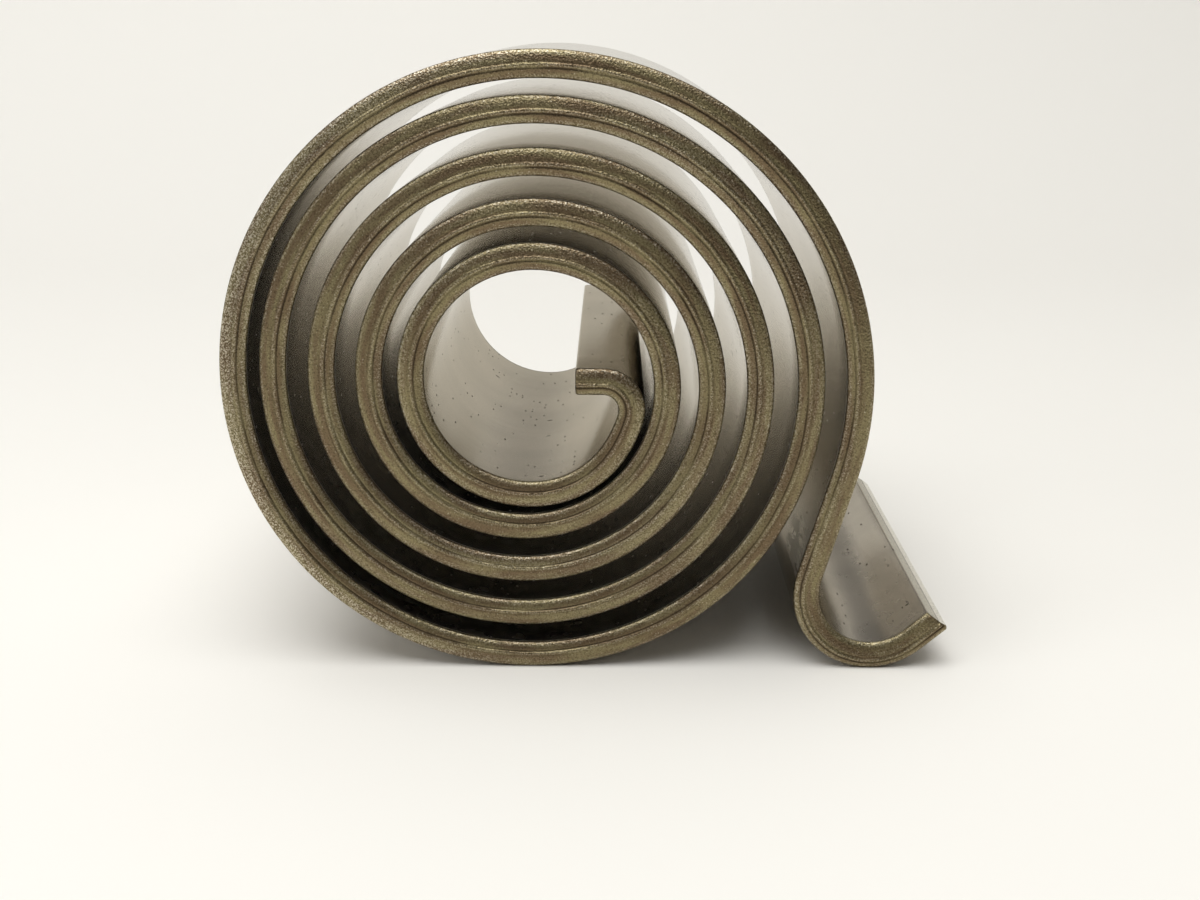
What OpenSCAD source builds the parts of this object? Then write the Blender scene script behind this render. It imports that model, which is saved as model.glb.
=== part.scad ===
// Flat-strip spiral torsion spring: one steel strip wound on edge into open turns,
// with a bent tang at the inner end and an open hook at the outer end.
// The coil's axis lies along Y and passes through the origin at half the strip's width.

/* [Strip] */
// Thickness of the strip
strip_t = 3.2; // [2:0.1:5]
// Width of the strip, along the coil's axis
strip_w = 60; // [20:1:100]
// Radius of the rolled corners along both edges of the strip
edge_r = 0.9; // [0.2:0.1:0.9]

/* [Coil] */
// Clear width of the bore inside the first turn
bore_d = 27.2; // [24:0.1:60]
// Clear gaps between neighbouring turns on the left, from the inside out
gap_left = [1.7, 2.4, 2.5, 1.5]; // [1:0.1:6]
// Clear gaps between neighbouring turns on the right, from the inside out
gap_right = [2.1, 2.5, 2.8, 2.6]; // [1:0.1:6]

/* [Tang] */
// How much more tightly the first turn is wound below on the left than over the top
lower_step = 1; // [0.7:0.1:1.5]
// Clear gap between the heel's upper end and the turn that passes outside it
heel_gap = 1; // [0.7:0.1:2]
// How much more openly the heel is wound at its upper end than at its lower end
heel_ease = 2.9; // [1:0.1:4]
// Inside radius of the bend between the heel and the tang
tang_bend_r = 1.9; // [1:0.1:3]
// Straight length of the tang past its bend
tang_l = 3.2; // [1:0.1:6]

/* [Hook] */
// Degrees from the vertical at which the straight leg leaves the last turn, a slope of 7 in 24
leg_lean = 16.2602; // [10:0.0001:25]
// Straight length of the leg between the last turn and the hook
leg_l = 13; // [8:0.1:20]
// Inside radius of the hook
hook_r = 6.4; // [4:0.1:10]
// Degrees through which the hook is bent
hook_wrap = 147.4796; // [120:0.0001:170]
// Straight length of the hook's tail
tail_l = 4.4; // [1:0.1:10]

/* [Hidden] */
$fn = 96;

// Bend radii are kept to hundredths of a millimetre, as a bend schedule is
function hundredth(x) = round(x * 100) / 100;

half_t = strip_t / 2;

// Mean radius of each half turn from the first upper one: every clear gap adds half a pitch
gaps = [for (i = [0:len(gap_left) - 1]) each [gap_left[i], gap_right[i]]];
function half_turn_r(k) = k == 0 ? (bore_d + strip_t) / 2 : half_turn_r(k - 1) + half_pitch(k - 1);
function half_pitch(k) = (gaps[k] + strip_t) / 2;
last_half = len(gaps);

// A half turn is two quarter bends, and the radius steps evenly from each quarter to the next
function quarter_step(k) = half_pitch(max(0, k - 1)) / 4;
function first_quarter_r(k) = hundredth(half_turn_r(k) - quarter_step(k));
function second_quarter_r(k) = hundredth(half_turn_r(k) + quarter_step(k));

// Where half turn k begins: even ones run over the top to the right, odd ones below to the left
function side(k) = k % 2 == 0 ? 1 : -1;
function first_centre(k) = half_start(k) + [side(k) * first_quarter_r(k), 0];
function second_centre(k) = first_centre(k) + [0, side(k) * (first_quarter_r(k) - second_quarter_r(k))];
function half_start(k) = k == 0 ? [-hundredth((bore_d + strip_t) / 2), 0]
    : second_centre(k - 1) + [side(k - 1) * second_quarter_r(k - 1), 0];

// The first lower half turn: a quarter on the left, then the heel, which eases at a slope of
// 3 across in 4 up and gives way to the tang's bend at 7 across in 24 up, clear of the next turn
heel_slope = atan2(3, 4);
bend_slope = atan2(7, 24);
tang_r = tang_bend_r + half_t;
lower_r = hundredth(half_turn_r(0) - lower_step);
heel_side = bore_d - heel_gap - lower_r - (1 - cos(bend_slope)) * tang_r;
heel_r = hundredth((heel_side - (cos(bend_slope) - cos(heel_slope)) * heel_ease) / cos(bend_slope));
heel_end_r = heel_r + heel_ease;
lower_centre = half_start(0) + [lower_r, 0];
heel_centre = lower_centre + [0, heel_r - lower_r];
hook_mid_r = hook_r + half_t;

// Cross-section of the strip: flat faces, with all four corners rolled round
module strip_section() {
    square([strip_t, strip_w - 2 * edge_r], center = true);
    square([strip_t - 2 * edge_r, strip_w], center = true);
    for (x = [-1, 1], y = [-1, 1])
        translate([x * (half_t - edge_r), y * (strip_w / 2 - edge_r)]) circle(r = edge_r, $fn = 24);
}

// Strip bent to radius r about the local origin, from one angle through a turn
module arc(r, from, turn) {
    rotate_extrude(angle = abs(turn), start = min(from, from + turn))
        translate([r, 0]) strip_section();
}

// Bend of any angle from the local X axis, drawn from both of its ends, which overlap midway.
// What follows the bend is drawn in the frame of its far end.
module bend(r, turn) {
    arc(r, 0, turn * 0.6);
    rotate(turn) {
        arc(r, 0, -turn * 0.6);
        children();
    }
}

// Straight stretch of strip from the local origin along Y
module straight(l) {
    translate([0, max(0, l)]) rotate([90, 0, 0]) linear_extrude(abs(l)) strip_section();
}

// Heel and tang: the strip leaves the lower quarter and is bent in across the bore
module inner_end() {
    translate(heel_centre) rotate(-90) bend(heel_r, 90 - heel_slope)
        translate([heel_r - heel_end_r, 0]) bend(heel_end_r, heel_slope - bend_slope)
            translate([heel_end_r - tang_r, 0]) bend(tang_r, 90 + bend_slope)
                translate([tang_r, 0]) straight(tang_l);
}

// Open turns: the first lower quarter, then half turns over the top and below by turns
module turns() {
    translate(lower_centre) arc(lower_r, -90, -90);
    for (k = [0:last_half]) {
        translate(first_centre(k)) arc(first_quarter_r(k), side(k) * 90 + 90, -90);
        if (k < last_half)
            translate(second_centre(k)) arc(second_quarter_r(k), side(k) * 90, -90);
    }
}

// Leg and hook: the last turn runs on into a straight leg, and the hook curls the other way
module outer_end() {
    translate(second_centre(last_half)) rotate(90) bend(second_quarter_r(last_half), -90 - leg_lean)
        translate([second_quarter_r(last_half), 0]) {
            straight(-leg_l);
            translate([hook_mid_r, -leg_l]) rotate(180) bend(hook_mid_r, hook_wrap)
                translate([hook_mid_r, 0]) straight(tail_l);
        }
}

module spiral_spring() {
    color("#5b5546") rotate([90, 0, 0]) {
        turns();
        inner_end();
        outer_end();
    }
}

spiral_spring();
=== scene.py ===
from cmath import exp
from math import atan2, ceil, cos, degrees, pi, radians, sin

import bpy
import numpy as np
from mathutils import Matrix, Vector


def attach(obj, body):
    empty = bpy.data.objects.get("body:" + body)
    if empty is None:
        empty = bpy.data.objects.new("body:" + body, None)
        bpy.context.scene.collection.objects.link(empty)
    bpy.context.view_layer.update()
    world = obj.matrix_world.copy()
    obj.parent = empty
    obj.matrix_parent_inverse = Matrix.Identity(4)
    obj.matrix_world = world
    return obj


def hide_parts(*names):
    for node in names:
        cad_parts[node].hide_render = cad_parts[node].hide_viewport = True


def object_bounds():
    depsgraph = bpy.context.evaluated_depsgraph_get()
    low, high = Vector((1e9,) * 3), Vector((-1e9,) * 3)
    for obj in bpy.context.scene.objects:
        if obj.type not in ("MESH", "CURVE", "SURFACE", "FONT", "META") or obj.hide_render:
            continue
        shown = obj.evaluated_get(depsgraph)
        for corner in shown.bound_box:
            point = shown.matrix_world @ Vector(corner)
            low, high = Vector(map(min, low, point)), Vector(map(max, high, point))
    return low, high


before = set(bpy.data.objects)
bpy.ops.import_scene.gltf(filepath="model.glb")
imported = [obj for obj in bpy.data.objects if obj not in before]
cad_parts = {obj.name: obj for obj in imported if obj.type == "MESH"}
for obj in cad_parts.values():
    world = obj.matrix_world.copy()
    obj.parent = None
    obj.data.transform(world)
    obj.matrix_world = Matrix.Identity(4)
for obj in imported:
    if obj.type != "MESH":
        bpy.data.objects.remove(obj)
cad_low, cad_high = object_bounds()


# The spring strip: one length of flat spring steel with rolled edges, wound on edge round an
# arbor into open turns. Its inner end is bent in across the bore as a tang, and its outer end
# leaves the coil on a straight leg and is bent back into an open hook. Sizes are in millimetres.
MM = 0.001
strip_t, strip_w = 3.2, 60.0
half_t, half_w = strip_t / 2, strip_w / 2
bore_d = 27.2
gap_left, gap_right = (1.7, 2.4, 2.5, 1.5), (2.1, 2.5, 2.8, 2.6)
# Bend radii are those of the strip's middle
tang_l, tang_r = 3.2, 3.5
bend_slope, heel_slope = degrees(atan2(7, 24)), degrees(atan2(3, 4))
lower_r, heel_r, heel_end_r = 14.2, 11.87, 14.77
leg_lean, leg_l = degrees(atan2(7, 24)), 13.0
hook_r, hook_wrap, tail_l = 8.0, 180 - 2 * leg_lean, 4.4

# The bend schedule from the tang's end outward, as (radius, degrees clockwise) or (0, length).
# Short steps at both ends carry the worn corner of each cut.
cut_steps = [(0, 0.03), (0, 0.07), (0, 0.10), (0, 0.15)]
cut_r = sum(step for _, step in cut_steps)
inner_end = cut_steps + [
    (0, tang_l - cut_r),
    (tang_r, 90 + bend_slope),
    (heel_end_r, heel_slope - bend_slope),
    (heel_r, 90 - heel_slope),
    (lower_r, 90),
]
turns = []
half_turn_r, pitch = (bore_d + strip_t) / 2, (gap_left[0] + strip_t) / 2
for gap in [g for pair in zip(gap_left, gap_right) for g in pair] + [0]:
    turns += [(round(half_turn_r - pitch / 4, 2), 90), (round(half_turn_r + pitch / 4, 2), 90)]
    pitch = (gap + strip_t) / 2
    half_turn_r += pitch
turns[-1] = (turns[-1][0], 90 + leg_lean)
outer_end = [(0, leg_l), (-hook_r, hook_wrap), (0, tail_l - cut_r)] + cut_steps[::-1]
station_l, station_turn = 1.1, radians(7)


def centreline(schedule):
    """Points and headings of the strip's middle as complex numbers, and the length run."""
    at, heading, run = [0j], [1 + 0j], [0.0]
    for radius, amount in schedule:
        length = abs(radius) * radians(amount) if radius else amount
        turn = -radians(amount) * np.sign(radius)
        steps = max(ceil(length / station_l), ceil(abs(turn) / station_turn))
        start, first, done = at[-1], heading[-1], run[-1]
        for part in np.arange(1, steps + 1) / steps:
            if radius:
                pivot = start - 1j * radius * first
                at.append(pivot + (start - pivot) * exp(1j * turn * part))
            else:
                at.append(start + first * length * part)
            heading.append(first * exp(1j * turn * part))
            run.append(done + length * part)
    return np.array(at), np.array(heading), np.array(run)


at, heading, run = centreline(inner_end + turns + outer_end)
strip_l = run[-1]
first_turn = len(centreline(inner_end)[0]) - 1
at -= at[first_turn] + (bore_d + strip_t) / 2

# Each edge was rolled from both faces. Its two sloping halves meet in a low rib between fine
# grooves, which wanders along the strip and lies further in at both of its ends.
rib = -0.16 + 0.07 * np.sin(run / 27) + 0.04 * np.sin(run / 9.1 + 1) + 0.02 * np.sin(run / 2.3)
rib -= 0.28 * np.clip((run - strip_l + 62) / 30, 0, 1) + 0.22 * np.clip((24 - run) / 14, 0, 1)
rib_zone, rib_round = 0.6, 0.12
outer_n, rib_n, inner_n = 13, 17, 12
gable_slope, corner_h, edge_inset = 0.24, 0.60, 0.03
crest_h, crest_w = 0.05, 0.17
groove_at, groove_w, outer_groove = 0.33, 0.11, 0.5
groove_depth = 0.085 + 0.03 * np.sin(run / 5.3) + 0.02 * np.sin(run / 1.7 + 2)


def bell(distance, width):
    return np.exp(-((distance / width) ** 2))


def rolled_edge(rib, groove):
    """One station of an edge, from the outer face to the inner: offset, and depth in from the width."""
    rib_high, rib_low = rib + rib_zone, rib - rib_zone
    offset = np.r_[
        half_t * np.cos(np.linspace(0, np.arccos(rib_high / half_t), outer_n)),
        np.linspace(rib_high, rib_low, rib_n)[1:-1],
        half_t * np.cos(np.linspace(np.arccos(rib_low / half_t), pi, inner_n)),
    ]
    below = offset - rib
    gable = gable_slope * np.sqrt(below**2 + rib_round**2)
    corner = corner_h * (1 - np.maximum(0, 1 - (offset / half_t) ** 4) ** 0.25)
    grooves = bell(below + groove_at, groove_w) + outer_groove * bell(below - groove_at, groove_w)
    crest = crest_h * bell(below, crest_w)
    return offset, edge_inset + gable + corner + groove * grooves - crest


flat_n = 8
skew_l, skew_most = 3.0, 0.65


def strip_mesh():
    """The strip's outline carried along its centreline, with worn corners at both cuts, and caps."""
    flat_y = np.linspace(-1, 1, flat_n + 2)[1:-1]
    tail_skew = skew_most * np.clip((run - strip_l + skew_l) / skew_l, 0, 1)
    rows, strip, below_rib = [], [], []
    for k in range(len(run)):
        offset, depth = rolled_edge(rib[k], groove_depth[k])
        flat = flat_y * (half_w - depth[0])
        across = np.r_[depth - half_w, flat, half_w - depth[::-1], flat[::-1]]
        around = np.r_[offset, np.full(flat_n, -half_t), offset[::-1], np.full(flat_n, half_t)]
        to_cut = max(0, cut_r - min(run[k], strip_l - run[k]))
        worn = cut_r - np.sqrt(cut_r**2 - to_cut**2)
        skew = tail_skew[k] * (around + half_t) / strip_t
        middle = at[k] - heading[k] * skew + 1j * heading[k] * around * (1 - worn / half_t)
        rows.append(np.c_[middle.real, across * (1 - worn / half_w), middle.imag])
        strip.append(np.c_[np.full(len(around), run[k]), across, around])
        below_rib.append(around - rib[k])
    count, edge, stations = len(rows[0]), len(offset), len(run)
    ring = np.arange(count)
    following = np.roll(ring, -1)
    band = np.c_[ring, following, following + count, ring + count]
    faces = np.vstack([band + k * count for k in range(stations - 1)]).tolist()
    sides = len(faces)
    # Each cap is a ladder of quads whose rungs join the outer side of the outline to the inner
    rungs = [(i, edge - 1 - i) for i in range(edge // 2 - 1, -1, -1)]
    rungs += [(count - 1 - i, edge + i) for i in range(flat_n)]
    rungs += [(2 * edge + flat_n - 1 - i, edge + flat_n + i) for i in range(edge // 2)]
    for k, turn in ((0, 1), (stations - 1, -1)):
        base = len(rows) * count
        for table in (rows, strip, below_rib):
            table.append(table[k])
        for (a, b), (c, d) in zip(rungs, rungs[1:]):
            faces.append([base + v for v in (a, b, d, c)[::turn]])
    mesh = bpy.data.meshes.new("spring_strip")
    mesh.from_pydata((np.vstack(rows) * MM).tolist(), [], faces)
    capped = np.arange(len(faces)) >= sides
    mesh.polygons.foreach_set("use_smooth", ~capped)
    mesh.polygons.foreach_set("material_index", capped.astype(np.int32))
    place_on_strip = mesh.attributes.new("strip", "FLOAT_VECTOR", "POINT")
    place_on_strip.data.foreach_set("vector", np.vstack(strip).ravel())
    place_on_edge = mesh.attributes.new("below_rib", "FLOAT", "POINT")
    place_on_edge.data.foreach_set("value", np.hstack(below_rib))
    return mesh


spring = bpy.data.objects.new("spring_strip", strip_mesh())
bpy.context.scene.collection.objects.link(spring)


class Wire:
    """A socket in a shader's node tree. Sums and products of wires add Math nodes."""

    def __init__(self, tree, socket=None):
        self.tree, self.socket = tree, socket

    def add(self, kind, settings=None, sockets=None, out=0):
        """A new node: its settings are set first, then its sockets are given values or links."""
        node = self.tree.nodes.new("ShaderNode" + kind)
        for name, value in (settings or {}).items():
            setattr(node, name, value)
        for name, value in (sockets or {}).items():
            if isinstance(value, Wire):
                self.tree.links.new(value.socket, node.inputs[name])
            else:
                node.inputs[name].default_value = value
        return Wire(self.tree, node.outputs[out] if node.outputs else None)

    def output(self, index):
        """Another output of the node that this wire comes from."""
        return Wire(self.tree, self.socket.node.outputs[index])

    def maths(self, operation, *values):
        return self.add("Math", {"operation": operation}, dict(enumerate(values)))

    def __add__(self, other):
        return self.maths("ADD", self, other)

    def __sub__(self, other):
        return self.maths("SUBTRACT", self, other)

    def __rsub__(self, other):
        return self.maths("SUBTRACT", other, self)

    def __mul__(self, other):
        return self.maths("MULTIPLY", self, other)

    def __abs__(self):
        return self.maths("ABSOLUTE", self)

    __radd__, __rmul__ = __add__, __mul__

    def rise(self, low, high):
        """0 below low, 1 above high and smooth between them; a low above high makes a fall."""
        limits = {"Value": self, "From Min": low, "From Max": high}
        return self.add("MapRange", {"interpolation_type": "SMOOTHSTEP"}, limits)

    def stretched(self, factors):
        """A vector wire multiplied along each axis by its own factor."""
        return self.add("VectorMath", {"operation": "MULTIPLY"}, {0: self, 1: factors})

    def noise(self, stretch, scale, detail=2.0, rough=0.5):
        """Noise over a vector wire that is first stretched along each axis."""
        kind = {"Vector": self.stretched(stretch), "Scale": scale, "Detail": detail, "Roughness": rough}
        return self.add("TexNoise", {}, kind)

    def blend(self, first, second):
        """Colour first where the wire is 0 and second where it is 1."""
        return self.add("Mix", {"data_type": "RGBA"}, {0: self, 6: first, 7: second}, 2)


def fresh_material(name):
    material = bpy.data.materials.new(name)
    material.use_nodes = True
    material.node_tree.nodes.clear()
    return material, Wire(material.node_tree)


# Spring steel as tempered: the rolled faces are satin grey, faintly mottled and specked, and
# glossier at glancing angles, with a line of painted shade where they turn into the edges. The
# edges are peened and browned, darker in their grooves, and worn bare on the rib and where the
# outermost turn was rubbed on the left. Their corners are pale, partly from bare wear and partly
# from a painted highlight, and their pale grains are partly painted glints.
steel, sheet = fresh_material("spring_steel")
strip = sheet.add("Attribute", {"attribute_name": "strip"}, out=1)
below_rib = sheet.add("Attribute", {"attribute_name": "below_rib"}, out=2)
parts = sheet.add("SeparateXYZ", {}, {0: strip})
along, across, offset = parts, parts.output(1), parts.output(2)
to_width = half_w - abs(across)
on_edge = to_width.rise(1.10, 0.85)
on_corner = to_width.rise(1.28, 1.10) * to_width.rise(0.90, 1.05)
# Places along the strip with marks of their own: the leg's foot and the outermost turn's left
leg_foot = strip_l - tail_l - hook_r * radians(hook_wrap)
outer_turn_r = 37.0
outer_left = leg_foot - leg_l - outer_turn_r * radians(180 + leg_lean)
rolled_light, rolled_dark = (0.55, 0.517, 0.471, 1), (0.49, 0.464, 0.425, 1)
streak_grey, speck_black = (0.30, 0.275, 0.24, 1), (0.04, 0.033, 0.026, 1)
scuffed_steel, corner_shade_black = (0.85, 0.83, 0.76, 1), (0.05, 0.042, 0.034, 1)
olive_oxide, brown_oxide = (0.275, 0.233, 0.128, 1), (0.190, 0.138, 0.082, 1)
pit_brown, groove_black = (0.060, 0.046, 0.030, 1), (0.030, 0.023, 0.015, 1)
worn_steel_and_highlight, pale_grain_and_glint = (0.56, 0.51, 0.40, 1), (0.62, 0.57, 0.45, 1)


def specks(spread, chosen, size, ragged):
    """Ragged specks: one in each cell of a spread-out pattern that a range of chances chooses."""
    cells = {"Vector": strip.stretched(spread), "Scale": 1.0}
    dot = sheet.add("TexVoronoi", {"voronoi_dimensions": "2D"}, cells)
    chance = sheet.add("SeparateColor", {}, {0: dot.output(1)})
    return chance.rise(*chosen) * (dot + ragged * (grain - 0.5)).rise(*size)


cloud = strip.noise((0.05, 0.12, 0.3), 1.0, 3.0)
streak = strip.noise((0.05, 1.6, 0.3), 1.0, 4.0, 0.6)
mottle = strip.noise((0.22, 0.22, 0.4), 1.0, 2.0, 0.6)
grain = strip.noise((1.0, 1.0, 1.0), 5.2, 2.0, 0.6)
small_specks = specks((1.0, 0.46, 0.6), (0.84, 0.96), (0.17, 0.08), 0.10)
large_specks = specks((0.20, 0.34, 0.6), (0.93, 0.96), (0.10, 0.04), 0.08)
speck = (small_specks + large_specks) * mottle.rise(0.38, 0.50)
scratch = strip.noise((0.10, 4.5, 0.6), 1.0, 1.0).rise(0.72, 0.78)
on_inner_face = offset.rise(0.1 - half_t, 0.02 - half_t)
low_on_leg = abs(along - (leg_foot - 2.2)).rise(3.6, 1.5) * across.rise(-12.0, -24.0)
scuff = low_on_leg * on_inner_face * strip.noise((1.4, 0.25, 1.0), 1.0, 3.0).rise(0.36, 0.52)
flat_colour = cloud.rise(0.35, 0.65).blend(rolled_light, rolled_dark)
flat_colour = (streak.rise(0.50, 0.80) * 0.2).blend(flat_colour, streak_grey)
flat_colour = (speck * 0.9 + scratch * 0.1).blend(flat_colour, speck_black)
flat_colour = (scuff * 0.9).blend(flat_colour, scuffed_steel)

pit = strip.add("TexVoronoi", {"feature": "F1"}, {"Vector": strip, "Scale": 4.0})
patch = strip.noise((0.12, 0.4, 0.9), 1.0, 2.0)
ragged = abs(below_rib) + 0.10 * (grain - 0.5)
on_rib = ragged.rise(0.24, 0.10)
inner_side = 0.30 + 0.70 * below_rib.rise(0.05, -0.05)
in_groove = ragged.rise(0.18, 0.32) * ragged.rise(0.52, 0.36) * inner_side
long_patch = strip.noise((0.014, 0.1, 0.5), 1.0, 2.0)
rubbed = abs(along - outer_left).rise(65, 25) * offset.rise(-0.1, 0.5)
rubbed = rubbed + 0.4 * long_patch.rise(0.5, 0.65)
# The corners' share is partly bare wear and partly a painted highlight of the rim catching light; the
# rib and the rubbed left are bare wear.
worn = abs(offset).rise(1.0, 1.4) * 0.55 + on_rib * 0.45 + rubbed * 0.75
# Darker in the fine grooves beside the rib. This is stronger on the inner side and uneven along the
# strip.
darker_in_grooves = in_groove * (0.30 + 0.50 * patch.rise(0.3, 0.6))
edge_colour = patch.rise(0.35, 0.65).blend(olive_oxide, brown_oxide)
edge_colour = (grain.rise(0.52, 0.34) * 0.6).blend(edge_colour, pit_brown)
# Pale bare steel, which on the corners is partly a painted highlight.
edge_colour = (grain.rise(0.46, 0.66) * worn).blend(edge_colour, worn_steel_and_highlight)
# Pale grains: partly the peened grain's own bare specks and partly painted glints.
edge_colour = (grain.rise(0.66, 0.74) * 0.8).blend(edge_colour, pale_grain_and_glint)
edge_colour = darker_in_grooves.blend(edge_colour, groove_black)
colour = on_edge.blend(flat_colour, edge_colour)
# Painted shade: a dark line laid along the band where the faces turn into the edges.
colour = (on_corner * 0.4).blend(colour, corner_shade_black)

facing = sheet.add("LayerWeight", {}, {"Blend": 0.5}, 1)
glancing, face_on = facing.rise(0.68, 0.97), facing.rise(0.70, 0.45)
satin = 0.27 + 0.12 * (mottle - 0.5) * face_on - 0.18 * glancing + 0.25 * speck + 0.2 * scuff
roughness = on_edge * (0.36 + 0.12 * grain) + (1 - on_edge) * satin
peening = on_edge * (0.7 * pit + 0.5 * grain)
bump = sheet.add("Bump", {}, {"Strength": 1.0, "Distance": 0.06 * MM, "Height": peening})
surface = sheet.add(
    "BsdfPrincipled",
    {},
    {
        "Base Color": colour,
        "Metallic": 1.0,
        "Roughness": roughness,
        "Specular Tint": (0.69, 0.656, 0.585, 1),
        "Normal": bump,
    },
)
sheet.add("OutputMaterial", {}, {"Surface": surface})

# The sheared ends are bare pale steel: burnished near one face, torn and dull over the rest.
bare, cut = fresh_material("sheared_end")
strip = cut.add("Attribute", {"attribute_name": "strip"}, out=1)
offset = cut.add("SeparateXYZ", {}, {0: strip}).output(2)
tooth = strip.noise((1.0, 1.0, 1.0), 4.0, 3.0)
shear = strip.noise((1.0, 6.0, 0.4), 1.0, 3.0)
edge_of_tear = offset + 0.5 * (tooth - 0.5)
torn = edge_of_tear.rise(-0.25, 0.05)
tear_line = edge_of_tear.rise(-0.30, -0.10) * edge_of_tear.rise(0.15, -0.05)
burnished, torn_steel = (0.80, 0.77, 0.69, 1), (0.70, 0.67, 0.58, 1)
tear_brown = (0.22, 0.195, 0.15, 1)
hollow = tooth.rise(0.50, 0.34) * 0.45 + tear_line * 0.6
bare_colour = hollow.blend(torn.blend(burnished, torn_steel), tear_brown)
tearing = torn * tooth + 0.3 * shear
bump = cut.add("Bump", {}, {"Strength": 0.8, "Distance": 0.05 * MM, "Height": tearing})
surface = cut.add(
    "BsdfPrincipled",
    {},
    {"Base Color": bare_colour, "Metallic": 1.0, "Roughness": 0.34 + 0.2 * torn, "Normal": bump},
)
cut.add("OutputMaterial", {}, {"Surface": surface})

spring.data.materials.append(steel)
spring.data.materials.append(bare)
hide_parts("spiral_spring")
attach(spring, "root")


# The stage: one pale sheet, flat under the spring and curved up into a low backdrop behind it.
# The stage and the lights are sized in metres.
floor_z, floor_reach = cad_low.z, 4.0
rise_y, rise_r, rise_angle, rise_steps = 0.28, 0.30, radians(62), 16
profile = [(-floor_reach, 0.0), (rise_y, 0.0)]
for angle in np.linspace(0, rise_angle, rise_steps + 1)[1:]:
    profile.append((rise_y + rise_r * sin(angle), rise_r - rise_r * cos(angle)))
places = [(x, y, z + floor_z) for y, z in profile for x in (-floor_reach, floor_reach)]
strips = [(2 * k, 2 * k + 1, 2 * k + 3, 2 * k + 2) for k in range(len(profile) - 1)]
sweep = bpy.data.meshes.new("sweep")
sweep.from_pydata(places, [], strips)
sweep.polygons.foreach_set("use_smooth", [True] * len(sweep.polygons))
stage = bpy.data.objects.new("sweep", sweep)
bpy.context.scene.collection.objects.link(stage)
pale, ground = fresh_material("pale_floor")
floor_paint = {"Base Color": (0.93, 0.915, 0.87, 1), "Roughness": 0.6}
surface = ground.add("BsdfPrincipled", {}, floor_paint)
ground.add("OutputMaterial", {}, {"Surface": surface})
sweep.materials.append(pale)


# Light: a soft panel overhead, a weaker one from the left, and a room that is pale overhead and
# behind the spring and dim behind the camera.
def panel(name, place, size, watts):
    light = bpy.data.lights.new(name, "AREA")
    light.shape = "RECTANGLE"
    light.size, light.size_y = size
    light.energy = watts
    lamp = bpy.data.objects.new(name, light)
    lamp.location = place
    lamp.rotation_mode = "QUATERNION"
    lamp.rotation_quaternion = (-Vector(place)).to_track_quat("-Z", "Y")
    bpy.context.scene.collection.objects.link(lamp)


panel("overhead", (-0.15, -0.28, 1.0), (1.1, 0.9), 10.2)
panel("left", (-1.1, -0.45, 0.45), (0.7, 0.7), 1.9)

world = bpy.data.worlds.new("room")
bpy.context.scene.world = world
world.use_nodes = True
world.node_tree.nodes.clear()
room = Wire(world.node_tree)
parts = room.add("SeparateXYZ", {}, {0: room.add("TexCoord", {}, {}, 0)})
backward, upward = parts.output(1), parts.output(2)
dim_wall, pale_wall = (0.09, 0.083, 0.073, 1), (1.0, 0.98, 0.93, 1)
back_wall = backward.rise(-0.2, 0.7) * (0.22 + 0.78 * upward.rise(0.42, 0.20))
lit = back_wall + upward.rise(0.70, 0.97)
room_colour = lit.rise(0.0, 1.0).blend(dim_wall, pale_wall)
back = room.add("Background", {}, {"Color": room_colour, "Strength": 0.9})
room.add("OutputWorld", {}, {"Surface": back})


# The camera stands a little above the spring and looks down on its front edge.
eye, target = Vector((8.602, -198.775, 40.06)) * MM, Vector((7.218, -30.0, -8.403)) * MM
film_w, picture_w_px, focal_px = 36.0, 1200, 1476.5
lens = bpy.data.cameras.new("camera")
lens.sensor_width, lens.lens = film_w, film_w * focal_px / picture_w_px
lens.clip_start, lens.clip_end = 0.01, 20
camera = bpy.data.objects.new("camera", lens)
camera.location = eye
camera.rotation_mode = "QUATERNION"
camera.rotation_quaternion = (target - eye).to_track_quat("-Z", "Y")
bpy.context.scene.collection.objects.link(camera)
bpy.context.scene.camera = camera
bpy.context.scene.view_settings.view_transform = "Standard"
